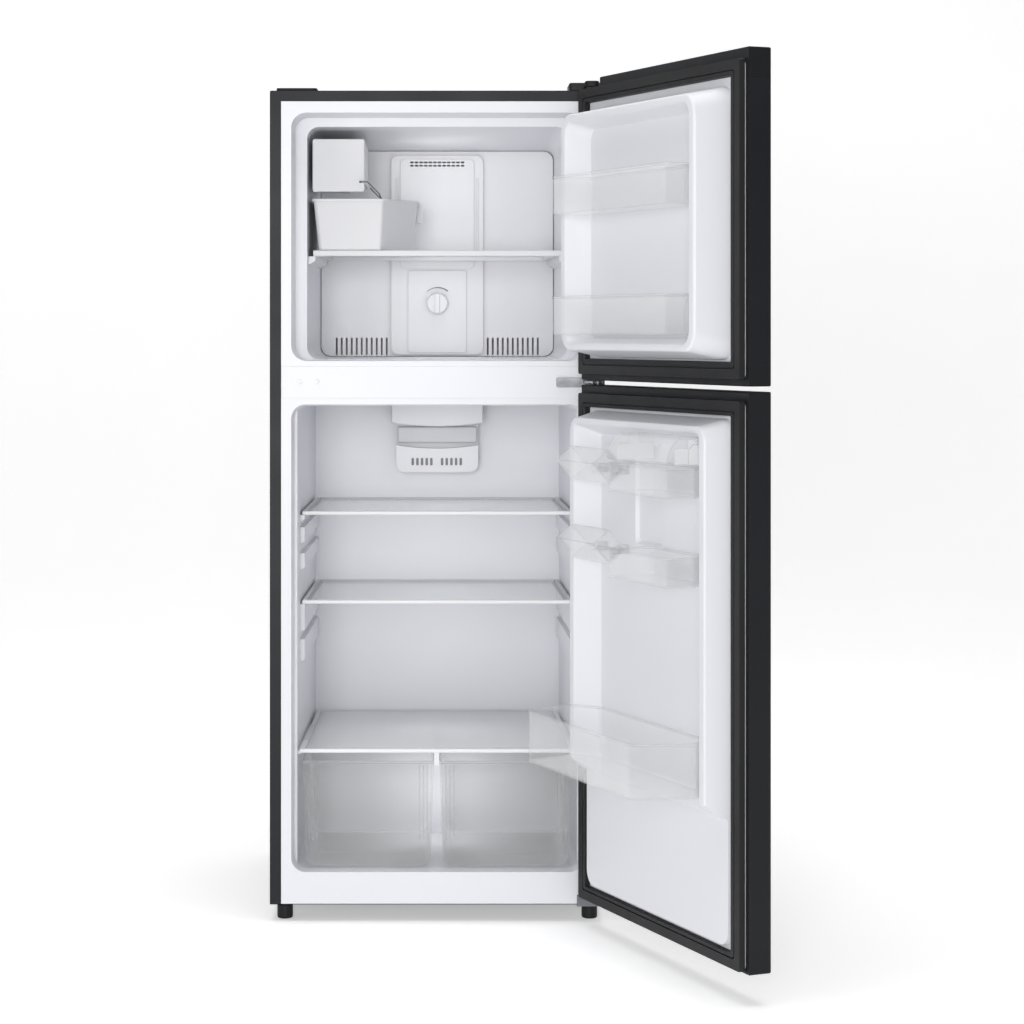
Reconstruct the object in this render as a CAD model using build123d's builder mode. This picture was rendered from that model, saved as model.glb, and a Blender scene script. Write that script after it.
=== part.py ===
from build123d import *
import math
import os

# Top-freezer refrigerator, millimetres. Z is up, the front faces -Y and +X is the hinge side.
# The origin is on the floor, under the middle of the cabinet's front face.
os.makedirs("parts", exist_ok=True)

# ---------------------------------------------------------------- driving dimensions
HALF_WIDTH = 300.0
CABINET_DEPTH = 600.0
CABINET_BOTTOM = 31.0
CABINET_TOP = 1489.0
SHEET = 1.0  # steel sheet of the cabinet, back and door skins
LINER = 2.0  # vacuum-formed plastic
FLANGE = 20.0  # width of the steel front flange
SEAM_Z = 966.0  # where the two liners meet behind the mullion cover

FREEZER_LOW, FREEZER_HIGH = 1004.5, 1449.5  # front opening
FRIDGE_LOW, FRIDGE_HIGH = 89.0, 926.5
OPENING_HALF = 261.5
SHOULDER_Y = 75.0  # the freezer narrows here
THROAT_Y = 45.0  # the fridge narrows here
LINER_BACK_Y = 525.0
HUMP_Y, HUMP_Z = 361.0, 290.0  # step over the machine compartment, inside the fridge
MACHINE_Y, MACHINE_Z = 410.0, 235.0  # machine compartment, behind and below

DOOR_THICK = 42.0
DOOR_GAP = 13.0  # from a closed door's inner face to the cabinet front
DOOR_BACK_Y = -DOOR_GAP
DOOR_FRONT_Y = -DOOR_GAP - DOOR_THICK
FREEZER_DOOR_LOW, FREEZER_DOOR_HIGH = 971.5, 1503.5
FRIDGE_DOOR_LOW, FRIDGE_DOOR_HIGH = 51.5, 963.0
CAP_HEIGHT = 33.0  # plastic end caps of the doors
HINGE_X, HINGE_Y = 285.5, -38.0
PIN_RADIUS = 4.0
PIN_CLEARANCE = 0.05
DOOR_REST_ANGLE = 112.5  # how far open both doors stand at rest
NOTCH_Z = 1487.0  # floor of the hinge notch in the freezer door's top cap
GASKET_PROUD = 11.5
GASKET_INSET = 8.5
PANEL_PROUD = 30.0  # door liner panel
FREEZER_DIKE, FRIDGE_DIKE = 68.0, 50.0
FRIDGE_DIKE_LOW_Z = 300.0
LOW_PANEL = 12.0  # the fresh-food door's liner below its dikes

SHELF_FRONT_Y, SHELF_BACK_Y = 115.0, 505.0
SHELF_LEVELS = (557.0, 720.5)  # undersides of the two glass shelves
CRISPER_FRONT_Y, CRISPER_BACK_Y = 30.0, 352.0
CRISPER_LOW, CRISPER_HIGH = 93.0, 283.0
CRISPER_COVER_Z = 297.5
SHELF_THICK = 7.0
FREEZER_SHELF_Z = 1195.0
FREEZER_SHELF_FRONT_Y = 100.0
COVER_Y = 430.0  # front face of the freezer's rear cover
KNOB_Z = 1112.0
FOOT_X, FOOT_Y = 274.5, 35.0
ROLLER_Y, ROLLER_RADIUS = 568.0, 18.0

HINGE_AXIS = Axis((HINGE_X, HINGE_Y, 0), (0, 0, 1))


# ---------------------------------------------------------------- helpers
def front(y):
    """The upright plane at depth y, with local x = X and local y = Z; it extrudes towards the viewer."""
    return Plane.XZ.offset(-y)


def middle(pair):
    return (pair[0] + pair[1]) / 2


def block(x, y, z, mode=Mode.ADD):
    """A box between two limits along each axis."""
    with Locations((middle(x), middle(y), middle(z))):
        return Box(x[1] - x[0], y[1] - y[0], z[1] - z[0], mode=mode)


def slab(x, y, z, radius, mode=Mode.ADD):
    """A box between limits whose four corners, seen from the front, are rounded."""
    with BuildSketch(front(y[1])) as face:
        with Locations((middle(x), middle(z))):
            RectangleRounded(x[1] - x[0], z[1] - z[0], radius)
    return extrude(face.sketch, amount=y[1] - y[0], mode=mode)


def deck(x, y, z, radius, mode=Mode.ADD):
    """A box between limits whose four corners, seen from above, are rounded."""
    with BuildSketch(Plane.XY.offset(z[0])) as face:
        with Locations((middle(x), middle(y))):
            RectangleRounded(x[1] - x[0], y[1] - y[0], radius)
    return extrude(face.sketch, amount=z[1] - z[0], mode=mode)


def taper(near, far, mode=Mode.ADD):
    """A loft between two rounded rectangles, each given as (y, x low, x high, z low, z high, radius)."""
    faces = []
    for y, x0, x1, z0, z1, radius in (near, far):
        with BuildSketch(front(y)) as section:
            with Locations(((x0 + x1) / 2, (z0 + z1) / 2)):
                RectangleRounded(x1 - x0, z1 - z0, radius)
        faces.append(section.sketch.face())
    return loft(faces, mode=mode)


def rod(centre, radius, z0, z1, mode=Mode.ADD):
    """An upright cylinder between two heights."""
    with Locations((centre[0], centre[1], (z0 + z1) / 2)):
        return Cylinder(radius, z1 - z0, mode=mode)


def axle(x0, x1, y, z, radius, mode=Mode.ADD):
    """A cylinder along X."""
    with Locations(Location(((x0 + x1) / 2, y, z), (0, 90, 0))):
        return Cylinder(radius, abs(x1 - x0), mode=mode)


def spindle(x, z, y0, y1, radius, mode=Mode.ADD):
    """A cylinder along Y."""
    with Locations(Location((x, (y0 + y1) / 2, z), (90, 0, 0))):
        return Cylinder(radius, y1 - y0, mode=mode)


def door_xy(along, proud):
    """Plan position on a closed door: distance from the hinge-side edge, height above the inner face."""
    return (HALF_WIDTH - along, DOOR_BACK_Y + proud)


def write(name, *solids):
    """Write one piece, or a group of like pieces, as a named file."""
    piece = solids[0] if len(solids) == 1 else Compound(children=list(solids))
    piece.label = name
    export_step(piece, f"parts/{name}.step")


def write_on_door(name, *solids):
    """Door pieces are drawn shut and written standing open."""
    write(name, *[solid.rotate(HINGE_AXIS, DOOR_REST_ANGLE) for solid in solids])


# ---------------------------------------------------------------- compartments
def freezer_wall(y):
    """Half width between the freezer's side walls at depth y."""
    return 237 - 11 * (y - SHOULDER_Y) / (LINER_BACK_Y - SHOULDER_Y)


def fridge_wall(y):
    """Half width between the fresh-food compartment's side walls at depth y."""
    return 253 - 10 * (y - THROAT_Y) / (LINER_BACK_Y - THROAT_Y)


def hollow(y0, y1, half0, half1, z0, z1, radius0, radius1):
    """A tapering hollow, symmetrical about the middle; z0 and z1 are the limits at each end."""
    taper(
        (y0, -half0, half0, z0[0], z0[1], radius0),
        (y1, -half1, half1, z1[0], z1[1], radius1),
    )


def freezer_space(grow):
    """The freezer's hollow; grow gives the outside of its liner."""
    half, low, high = OPENING_HALF + grow, FREEZER_LOW - grow, FREEZER_HIGH + grow
    back = LINER_BACK_Y + grow
    with BuildPart() as space:
        hollow(0, SHOULDER_Y + grow, half, half - 3, (low, high), (low + 1, high - 3), 27, 26)
        hollow(
            SHOULDER_Y,
            back,
            freezer_wall(SHOULDER_Y) + grow,
            freezer_wall(LINER_BACK_Y) + grow,
            (low + 2, high - 19.5),
            (low + 4, high - 43.5),
            22,
            18,
        )
    return space.part


def fridge_space(grow):
    """The fresh-food hollow; its floor steps up over the machine compartment."""
    half, low, high = OPENING_HALF + grow, FRIDGE_LOW - grow, FRIDGE_HIGH + grow
    back = LINER_BACK_Y + grow
    with BuildPart() as space:
        hollow(0, THROAT_Y + grow, half, half - 3, (low, high), (low, high - 2), 25, 24)
        hollow(
            THROAT_Y,
            back,
            fridge_wall(THROAT_Y) + grow,
            fridge_wall(LINER_BACK_Y) + grow,
            (low, high - 3),
            (low, high - 4),
            12,
            12,
        )
        block(
            (-HALF_WIDTH, HALF_WIDTH),
            (HUMP_Y + grow, LINER_BACK_Y + 10),
            (0, HUMP_Z - grow),
            mode=Mode.SUBTRACT,
        )
    return space.part


freezer_inside, freezer_outside = freezer_space(0), freezer_space(LINER)
fridge_inside, fridge_outside = fridge_space(0), fridge_space(LINER)


def side_rib(side, wall, y0, y1, top, bottom, proud):
    """A moulded rib along a tapering side wall."""
    faces = []
    for y in (y0, y1):
        with BuildSketch(front(y)) as section:
            with BuildLine():
                Polyline(
                    (side * (wall(y) + 1), top),
                    (side * (wall(y) - proud), top),
                    (side * (wall(y) - proud), bottom + proud * 0.6),
                    (side * (wall(y) + 1), bottom),
                    close=True,
                )
            make_face()
        faces.append(section.sketch.face())
    loft(faces)


with BuildPart() as freezer_liner:
    block((-279.7, 279.7), (0, LINER), (SEAM_Z + 0.15, 1469.7))
    add(freezer_outside)
    add(freezer_inside, mode=Mode.SUBTRACT)
    for wall_side in (-1, 1):
        side_rib(wall_side, freezer_wall, 105, 424, FREEZER_SHELF_Z, FREEZER_SHELF_Z - 16, 13)
write("freezer_liner", freezer_liner.part)

FRIDGE_RIBS = (
    (SHELF_LEVELS[1], 708),
    (698, 667),
    (650, 619),
    (SHELF_LEVELS[0], 505),
    (492, 450),
)
with BuildPart() as fridge_liner:
    block((-279.7, 279.7), (0, LINER), (32.2, SEAM_Z - 0.15))
    add(fridge_outside)
    add(fridge_inside, mode=Mode.SUBTRACT)
    for wall_side in (-1, 1):
        for rib_top, rib_bottom in FRIDGE_RIBS:
            side_rib(wall_side, fridge_wall, 115, 490, rib_top, rib_bottom, 8)
        side_rib(wall_side, fridge_wall, 60, 355, CRISPER_COVER_Z, CRISPER_COVER_Z - 9, 8)
write("fridge_liner", fridge_liner.part)

# ---------------------------------------------------------------- cabinet shell
INNER_HALF = HALF_WIDTH - SHEET
with BuildPart() as outer_cabinet:
    block((-HALF_WIDTH, HALF_WIDTH), (0, CABINET_DEPTH), (CABINET_BOTTOM, CABINET_TOP))
    chamfer(outer_cabinet.edges().filter_by(Axis.Y).group_by(Axis.Z)[-1], 1.5)
    block(
        (-INNER_HALF, INNER_HALF),
        (SHEET, CABINET_DEPTH),
        (CABINET_BOTTOM + SHEET, CABINET_TOP - SHEET),
        mode=Mode.SUBTRACT,
    )
    block(
        (-HALF_WIDTH + FLANGE, HALF_WIDTH - FLANGE),
        (0, SHEET),
        (CABINET_BOTTOM + SHEET, CABINET_TOP - FLANGE + 1),
        mode=Mode.SUBTRACT,
    )
    block(
        (-INNER_HALF, INNER_HALF),
        (MACHINE_Y, CABINET_DEPTH),
        (CABINET_BOTTOM, CABINET_BOTTOM + SHEET),
        mode=Mode.SUBTRACT,
    )
    for side in (-1, 1):
        rod((side * FOOT_X, FOOT_Y), 5.5, CABINET_BOTTOM, CABINET_BOTTOM + SHEET, Mode.SUBTRACT)
write("outer_cabinet", outer_cabinet.part)

with BuildPart() as back_panel:
    block(
        (-INNER_HALF, INNER_HALF),
        (CABINET_DEPTH - SHEET, CABINET_DEPTH),
        (MACHINE_Z, CABINET_TOP - SHEET),
    )
    block((-INNER_HALF, INNER_HALF), (MACHINE_Y, CABINET_DEPTH), (MACHINE_Z, MACHINE_Z + SHEET))
    block(
        (-INNER_HALF, INNER_HALF),
        (MACHINE_Y, MACHINE_Y + SHEET),
        (CABINET_BOTTOM + SHEET, MACHINE_Z + SHEET),
    )
    for level in (480, 860, 1240):
        slab((-200, 200), (CABINET_DEPTH, CABINET_DEPTH + 3), (level - 30, level + 30), 28)
write("back_panel", back_panel.part)


with BuildPart() as cabinet_foam:
    block(
        (-INNER_HALF, INNER_HALF),
        (LINER, CABINET_DEPTH - SHEET),
        (CABINET_BOTTOM + SHEET, CABINET_TOP - SHEET),
    )
    block(
        (-HALF_WIDTH, HALF_WIDTH),
        (MACHINE_Y, CABINET_DEPTH),
        (0, MACHINE_Z + SHEET),
        mode=Mode.SUBTRACT,
    )
    add(freezer_outside, mode=Mode.SUBTRACT)
    add(fridge_outside, mode=Mode.SUBTRACT)
    for side in (-1, 1):
        rod((side * FOOT_X, FOOT_Y), 7, CABINET_BOTTOM, 58, Mode.SUBTRACT)
write("cabinet_foam", cabinet_foam.part)

with BuildPart() as mullion_cover:
    slab((-279.5, 279.5), (-1, 0), (938, 995), 2)
    chamfer(mullion_cover.faces().sort_by(Axis.Y)[0].edges(), 0.4)
write("mullion_cover", mullion_cover.part)

with BuildPart() as hole_plugs:
    for x in (-246, -215):
        spindle(x, 968, -2.6, -1, 4)
    fillet(hole_plugs.faces().filter_by(Plane.XZ).group_by(Axis.Y)[0].edges(), 1)
write("hole_plugs", hole_plugs.part)

# ---------------------------------------------------------------- hinges, feet, top covers
with BuildPart() as top_hinge:
    deck((238, 294), (8, 62), (CABINET_TOP, CABINET_TOP + 3), 4)
    block((266, 287), (HINGE_Y, 12), (CABINET_TOP, CABINET_TOP + 3))
    rod((HINGE_X - 1, HINGE_Y), 9, CABINET_TOP, CABINET_TOP + 3)
    rod((HINGE_X, HINGE_Y), PIN_RADIUS, NOTCH_Z - 12, CABINET_TOP + 3)
    for x, y in ((250, 20), (282, 20), (250, 50), (282, 50)):
        rod((x, y), 2.6, CABINET_TOP, CABINET_TOP + 3, Mode.SUBTRACT)
write("top_hinge", top_hinge.part)

MIDDLE_SCREWS_X = (221.5, 257)
with BuildPart() as middle_hinge:
    slab((213, 297), (-4, -1), (957.5, 975), 3)
    block((262, 297), (-30, -1), (965.2, 969.2))
    block((270, 294.5), (HINGE_Y, -20), (965.2, 969.2))
    rod((HINGE_X, HINGE_Y), 9, 965.2, 969.2)
    rod((HINGE_X, HINGE_Y), PIN_RADIUS, 951, 984)
    for x in MIDDLE_SCREWS_X:
        spindle(x, 966, -4, -1, 2.6, Mode.SUBTRACT)
write("middle_hinge", middle_hinge.part)

with BuildPart() as bottom_hinge:
    block((250, 297), (-3, 0), (31, 48))
    block((250, 297), (-12, 0), (44, 48))
    block((268, 294.5), (HINGE_Y, -10), (44, 48))
    rod((HINGE_X, HINGE_Y), 9, 44, 48)
    rod((HINGE_X, HINGE_Y), PIN_RADIUS, 44, 64)
    block((250, 297), (-3, 60), (28, 31))
    rod((FOOT_X, FOOT_Y), 5.5, 28, 31, Mode.SUBTRACT)
    for x in (257, 290):
        spindle(x, 37, -3, 0, 2.6, Mode.SUBTRACT)
write("bottom_hinge", bottom_hinge.part)


def screw_up(x, y, z, mode=Mode.ADD):
    """A screw with its head above z and its shank below."""
    rod((x, y), 2.5, z - 3, z, mode)
    rod((x, y), 5, z, z + 2.2, mode)
    with Locations((x, y, z + 2.2)):
        Box(6, 1.1, 1.6, mode=Mode.SUBTRACT)


def screw_front(x, z, y, mode=Mode.ADD):
    """A screw with its head in front of y and its shank behind."""
    spindle(x, z, y, y + 3, 2.5, mode)
    spindle(x, z, y - 2.2, y, 4.6, mode)
    spindle(x, z, y - 2.2, y - 1.2, 1.6, Mode.SUBTRACT)


with BuildPart() as hinge_screws:
    for x, y in ((250, 20), (282, 20), (250, 50), (282, 50)):
        screw_up(x, y, CABINET_TOP + 3)
    for x in MIDDLE_SCREWS_X:
        screw_front(x, 966, -4)
    for x in (257, 290):
        screw_front(x, 37, -3)
write("hinge_screws", hinge_screws.part)

with BuildPart() as top_covers:
    # over the hinge
    deck((236, 298), (-8, 66), (CABINET_TOP, CABINET_TOP + 13.5), 6)
    deck((262, 288), (HINGE_Y - 9.3, 4), (CABINET_TOP + 3.3, CABINET_TOP + 13.5), 9)
    fillet(top_covers.faces().sort_by(Axis.Z)[-1].edges(), 3)
    deck((237.8, 296.2), (-6, 64), (CABINET_TOP, CABINET_TOP + 11.5), 4.5, Mode.SUBTRACT)
    block((262, 290), (-10, -4), (CABINET_TOP, CABINET_TOP + 3.3), Mode.SUBTRACT)
    # over the unused hinge holes on the other side
    deck((-289, -216), (10, 66), (CABINET_TOP, CABINET_TOP + 5.5), 8)
    chamfer(top_covers.faces().filter_by(Plane.XY).sort_by(Axis.X)[0].edges(), 2)
write("top_covers", top_covers.part)


def foot(side):
    """A levelling foot: a soft pad on a threaded stud."""
    with BuildPart() as pad:
        rod((side * FOOT_X, FOOT_Y), 14.2, 0, 25)
        fillet(pad.faces().sort_by(Axis.Z)[0].edges(), 3.5)
        fillet(pad.faces().sort_by(Axis.Z)[-1].edges(), 1)
        rod((side * FOOT_X, FOOT_Y), 4.5, 25, 52)
    return pad.part


write("front_foot_left", foot(-1))
write("front_foot_right", foot(1))

# ---------------------------------------------------------------- machine compartment
with BuildPart() as base_plate:
    block((-298.8, 298.8), (MACHINE_Y + 2, 596), (31, 33))
    block((-298.8, 298.8), (MACHINE_Y + 2, MACHINE_Y + 4), (31, 45))
    block((-232, 232), (594, 596), (31, 45))
    for side in (-1, 1):
        block(
            tuple(sorted((side * 241, side * 264))),
            (ROLLER_Y - 22, 597),
            (30, 34),
            mode=Mode.SUBTRACT,
        )
        block(tuple(sorted((side * 238, side * 240.5))), (ROLLER_Y - 20, 590), (11, 33))
        axle(side * 238, side * 263, ROLLER_Y, ROLLER_RADIUS, 3)
write("base_plate", base_plate.part)


def roller(side):
    with BuildPart() as wheel:
        axle(side * 241.2, side * 261, ROLLER_Y, ROLLER_RADIUS, ROLLER_RADIUS)
        fillet(wheel.edges().filter_by(GeomType.CIRCLE), 2)
        axle(side * 240, side * 262, ROLLER_Y, ROLLER_RADIUS, 3.06, Mode.SUBTRACT)
    return wheel.part


write("rear_roller_left", roller(-1))
write("rear_roller_right", roller(1))

COMPRESSOR_X, COMPRESSOR_Y = 110.0, 505.0
with BuildPart() as compressor:
    rod((COMPRESSOR_X, COMPRESSOR_Y), 68, 50, 192)
    fillet(compressor.faces().sort_by(Axis.Z)[0].edges(), 22)
    fillet(compressor.faces().sort_by(Axis.Z)[-1].edges(), 46)
    rod((COMPRESSOR_X, COMPRESSOR_Y), 69.5, 108, 112)
    deck((COMPRESSOR_X - 85, COMPRESSOR_X + 85), (442, 568), (47, 50), 12)
    for x in (COMPRESSOR_X - 70, COMPRESSOR_X + 70):
        for y in (455, 555):
            rod((x, y), 4, 46, 51, Mode.SUBTRACT)
    block((COMPRESSOR_X + 60, COMPRESSOR_X + 92), (480, 530), (90, 150))
write("compressor", compressor.part)

with BuildPart() as compressor_mounts:
    for x in (COMPRESSOR_X - 70, COMPRESSOR_X + 70):
        for y in (455, 555):
            rod((x, y), 10, 33, 47)
            rod((x, y), 3.9, 47, 54)
            rod((x, y), 7, 50.2, 54)
write("compressor_mounts", compressor_mounts.part)

with BuildPart() as drain_pan:
    deck((COMPRESSOR_X - 75, COMPRESSOR_X + 75), (440, 570), (192.2, 222), 12)
    offset(amount=-2, openings=drain_pan.faces().sort_by(Axis.Z)[-1])
write("drain_pan", drain_pan.part)


def finned_coil(x, y, z, fins, rows, columns, inset):
    """Straight tubes through a stack of upright fins between two end plates."""
    with Locations((middle(x), middle(y), middle(z))):
        with GridLocations((x[1] - x[0]) / (fins + 1), 0, fins, 1):
            Box(0.8, y[1] - y[0], z[1] - z[0])
    for row in range(rows):
        for column in range(columns):
            tube_z = z[0] + inset + (z[1] - z[0] - 2 * inset) * row / (rows - 1)
            tube_y = y[0] + inset + (y[1] - y[0] - 2 * inset) * column / (columns - 1)
            axle(x[0], x[1], tube_y, tube_z, 4)
    for end in ((x[0] - 2, x[0]), (x[1], x[1] + 2)):
        block(end, y, z)


with BuildPart() as condenser:
    finned_coil((-288, -208), (446, 536), (62, 206), 9, 5, 3, 16)
write("condenser", condenser.part)


def tube_run(points, bends, radius):
    with BuildPart() as tube:
        with BuildLine() as path:
            FilletPolyline(*points, radius=bends)
        with BuildSketch(Plane(origin=path.line @ 0, z_dir=path.line % 0)):
            Circle(radius)
        sweep()
    return tube.part


suction = tube_run(
    ((41.5, 505, 120), (0, 505, 120), (0, 440, 120), (0, 440, 234)), 20, 4
)
discharge = tube_run(((41.5, 530, 90), (-60, 530, 90), (-60, 470, 90), (-206, 470, 90)), 20, 3)
with BuildPart() as filter_drier:
    rod((-130, 540), 3, 180, 234)
    rod((-130, 540), 9, 80, 170)
    fillet(filter_drier.edges().filter_by(GeomType.CIRCLE).group_by(Axis.Z)[0], 4)
    with Locations((-130, 540, 175)):
        Cone(9, 3, 10)
    rod((-130, 540), 2, 60, 80)
write("refrigerant_tubes", suction, discharge, filter_drier.part)

with BuildPart() as cord_gland:
    slab((-232, -188), (600, 606), (250, 280), 6)
    spindle(-210, 265, 606, 618, 8)
    spindle(-210, 265, 604, 618, 3.6, Mode.SUBTRACT)
write("cord_gland", cord_gland.part)

# ---------------------------------------------------------------- freezer fittings
with BuildPart() as evaporator_cover:
    slab((-227, 227), (COVER_Y, COVER_Y + 3), (1009, 1410), 19)
    slab((-90, 90), (COVER_Y - 8, COVER_Y), (1012, 1401), 14)
    slab((-72, 72), (COVER_Y - 11, COVER_Y - 8), (1180, 1394), 10)
    slab((-57, 57), (COVER_Y - 11, COVER_Y - 8), (1016, 1176), 6)
    # hollow behind the raised duct, so air reaches the vents
    slab((-87, 87), (COVER_Y - 5, COVER_Y + 3), (1190, 1397), 11, Mode.SUBTRACT)
    for x in (-210, 210):
        for z in (1060, 1360):
            spindle(x, z, COVER_Y + 3, LINER_BACK_Y, 5)
    # vents: two rows above, upright slots below
    with BuildSketch(front(COVER_Y)) as top_vents:
        with Locations((0, 1384.5)):
            with GridLocations(9, 6.5, 12, 2):
                SlotOverall(7, 3.4)
    extrude(top_vents.sketch, amount=20, mode=Mode.SUBTRACT)
    with BuildSketch(front(COVER_Y + 4)) as low_vents:
        for x in (-148, 148):
            with Locations((x, 1028)):
                with GridLocations(9.8, 1, 11, 1):
                    SlotOverall(34, 3.6, rotation=90)
    extrude(low_vents.sketch, amount=10, mode=Mode.SUBTRACT)
    # pairs of upright grooves beside the duct panel
    for x in (-81, -77, 77, 81):
        block((x - 0.8, x + 0.8), (COVER_Y - 9, COVER_Y - 7), (1216, 1357), Mode.SUBTRACT)
    spindle(0, KNOB_Z, COVER_Y - 24, COVER_Y, 4)
write("evaporator_cover", evaporator_cover.part)

with BuildPart() as freezer_knob:
    spindle(0, KNOB_Z, COVER_Y - 28, COVER_Y - 11.5, 20)
    spindle(0, KNOB_Z, COVER_Y - 16, COVER_Y - 11.5, 22)
    fillet(freezer_knob.faces().sort_by(Axis.Y)[0].edges(), 2)
    block((-4, 4), (COVER_Y - 34, COVER_Y - 26), (KNOB_Z - 19, KNOB_Z + 19))
    spindle(0, KNOB_Z, COVER_Y - 24.5, COVER_Y, 4.05, Mode.SUBTRACT)
write("freezer_knob", freezer_knob.part)

with BuildPart() as evaporator_coil:
    finned_coil((-196, 196), (452, 508), (1055, 1215), 20, 6, 2, 14)
write("evaporator_coil", evaporator_coil.part)

FAN_Z = 1300.0
with BuildPart() as fan_motor:
    spindle(0, FAN_Z, 478, 508, 24)
    spindle(0, FAN_Z, 455, 478, 2.5)
    block((-98, 98), (490, 494), (FAN_Z - 6, FAN_Z + 6))
    block((-98, -92), (COVER_Y + 3, 494), (FAN_Z - 6, FAN_Z + 6))
    block((92, 98), (COVER_Y + 3, 494), (FAN_Z - 6, FAN_Z + 6))
write("fan_motor", fan_motor.part)

with BuildPart() as fan_blade:
    spindle(0, FAN_Z, 456, 474, 12)
    for turn in range(5):
        angle = math.radians(72 * turn)
        outward = (math.sin(angle), 0, math.cos(angle))
        across = (math.cos(angle), 0, -math.sin(angle))
        with BuildSketch(Plane(origin=(0, 465, FAN_Z), x_dir=across, z_dir=outward)) as root:
            Rectangle(26, 1.6, rotation=28)
        extrude(root.sketch, amount=50)
    spindle(0, FAN_Z, 454, 476, 2.56, Mode.SUBTRACT)
write("fan_blade", fan_blade.part)


def tray_outline(wall, y0, y1, gap, inset):
    """Corners of a shelf that follows the tapering walls."""
    return (
        (-(wall(y0) - gap - inset), y0 + inset),
        (wall(y0) - gap - inset, y0 + inset),
        (wall(y1) - gap - inset, y1 - inset),
        (-(wall(y1) - gap - inset), y1 - inset),
    )


def shelf(wall, y0, y1, gap, z0, z1, rim, step):
    """A moulded frame and the glass pane that lies flush in it."""

    def plate(inset, low, high, mode=Mode.ADD):
        with BuildSketch(Plane.XY.offset(low)) as outline:
            with BuildLine():
                Polyline(*tray_outline(wall, y0, y1, gap, inset), close=True)
            make_face()
        return extrude(outline.sketch, amount=high - low, mode=mode)

    with BuildPart() as frame:
        plate(0, z0, z1)
        fillet(frame.edges().filter_by(Axis.X).group_by(Axis.Y)[0], 2)
        plate(rim, z0, z1, Mode.SUBTRACT)
        plate(step, z1 - 4, z1, Mode.SUBTRACT)
    with BuildPart() as pane:
        plate(step + 0.3, z1 - 4, z1 - 0.2)
    return frame.part, pane.part


freezer_frame, freezer_pane = shelf(
    freezer_wall, FREEZER_SHELF_FRONT_Y, 416, 9.5, FREEZER_SHELF_Z, FREEZER_SHELF_Z + 11, 14, 8
)
write("freezer_shelf_frame", freezer_frame)
write("freezer_shelf_glass", freezer_pane)

# Icemaker: a cover open below, the mould under it, the ejector and the feeler arm.
with BuildPart() as icemaker_cover:
    slab((-228.5, -133), (100, 314), (1313, 1410), 4)
    fillet(icemaker_cover.faces().sort_by(Axis.Y)[0].edges(), 2)
    slab((-226, -135.5), (102.5, 326), (1300, 1407.5), 3, Mode.SUBTRACT)
    block((-240, -120), (125, 326), (1300, 1330), Mode.SUBTRACT)
    spindle(-141, 1331, 95, 110, 2.1, Mode.SUBTRACT)
write("icemaker_cover", icemaker_cover.part)

with BuildPart() as icemaker_mould:
    block((-222, -168), (112, 322), (1322, 1362))
    spindle(-195, 1366, 112, 322, 23, Mode.SUBTRACT)
    for rib in range(7):
        block((-219, -171), (136 + 26 * rib, 138 + 26 * rib), (1326, 1350))
    block((-222, -168), (110, 113), (1322, 1385))
    block((-222, -168), (321, 324), (1322, 1385))
    spindle(-195, 1372, 108, 326, 3.05, Mode.SUBTRACT)
write("icemaker_mould", icemaker_mould.part)

with BuildPart() as icemaker_ejector:
    spindle(-195, 1372, 108, 326, 3)
    for finger in range(7):
        block((-192.5, -177), (122.5 + 26 * finger, 125.5 + 26 * finger), (1370, 1374))
write("icemaker_ejector", icemaker_ejector.part)

with BuildPart() as icemaker_arm:
    with BuildLine() as wire:
        FilletPolyline(
            (-141, 98, 1331),
            (-141, 92, 1331),
            (-128, 92, 1331),
            (-106, 92, 1309),
            (-106, 300, 1309),
            (-128, 300, 1331),
            radius=1.9,
        )
    with BuildSketch(Plane(origin=wire.line @ 0, z_dir=wire.line % 0)):
        Circle(1.3)
    sweep()
    spindle(-141, 1331, 92.5, 112, 2.05)
write("icemaker_arm", icemaker_arm.part)


def outline(z, corners, rounding, grow=0.0):
    """A rounded polygon at height z, grown or shrunk all round."""
    with BuildSketch(Plane.XY.offset(z)) as plan:
        with BuildLine():
            Polyline(*corners, close=True)
        make_face()
        fillet(plan.vertices(), rounding)
        if grow:
            offset(amount=grow, mode=Mode.REPLACE)
    return plan.sketch.face()


def walled(top, bottom, low, high, wall, rounding, lip, lip_height):
    """An open bin lofted between two plans with the same number of corners, with a lip round its top."""
    with BuildPart() as tub:
        loft([outline(low, bottom, rounding), outline(high, top, rounding)])
        extrude(outline(high - lip_height, top, rounding, lip), amount=lip_height)
        inner_low = outline(low + wall, bottom, rounding, -wall)
        inner_high = outline(high + 1, top, rounding, -wall)
        loft([inner_low, inner_high], mode=Mode.SUBTRACT)
    return tub


ICE_BIN_TOP = ((-227, 97), (-99, 97), (-36, 188), (-36, 337), (-227, 337))
ICE_BIN_BOTTOM = ((-217, 104), (-104, 104), (-46, 190), (-46, 328), (-217, 328))
ice_bin = walled(ICE_BIN_TOP, ICE_BIN_BOTTOM, 1207, 1300, 2.5, 7, 2.5, 5)
with ice_bin:
    # finger bracket on the side
    block((-36.5, -29), (250, 282), (1262, 1297))
write("ice_bin", ice_bin.part)

# ---------------------------------------------------------------- fresh-food fittings
shelf_frames, shelf_panes = [], []
for level in SHELF_LEVELS:
    frame, pane = shelf(
        fridge_wall, SHELF_FRONT_Y, SHELF_BACK_Y, 4, level, level + SHELF_THICK, 13, 7
    )
    shelf_frames.append(frame)
    shelf_panes.append(pane)
write("shelf_frames", *shelf_frames)
write("shelf_panes", *shelf_panes)

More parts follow.
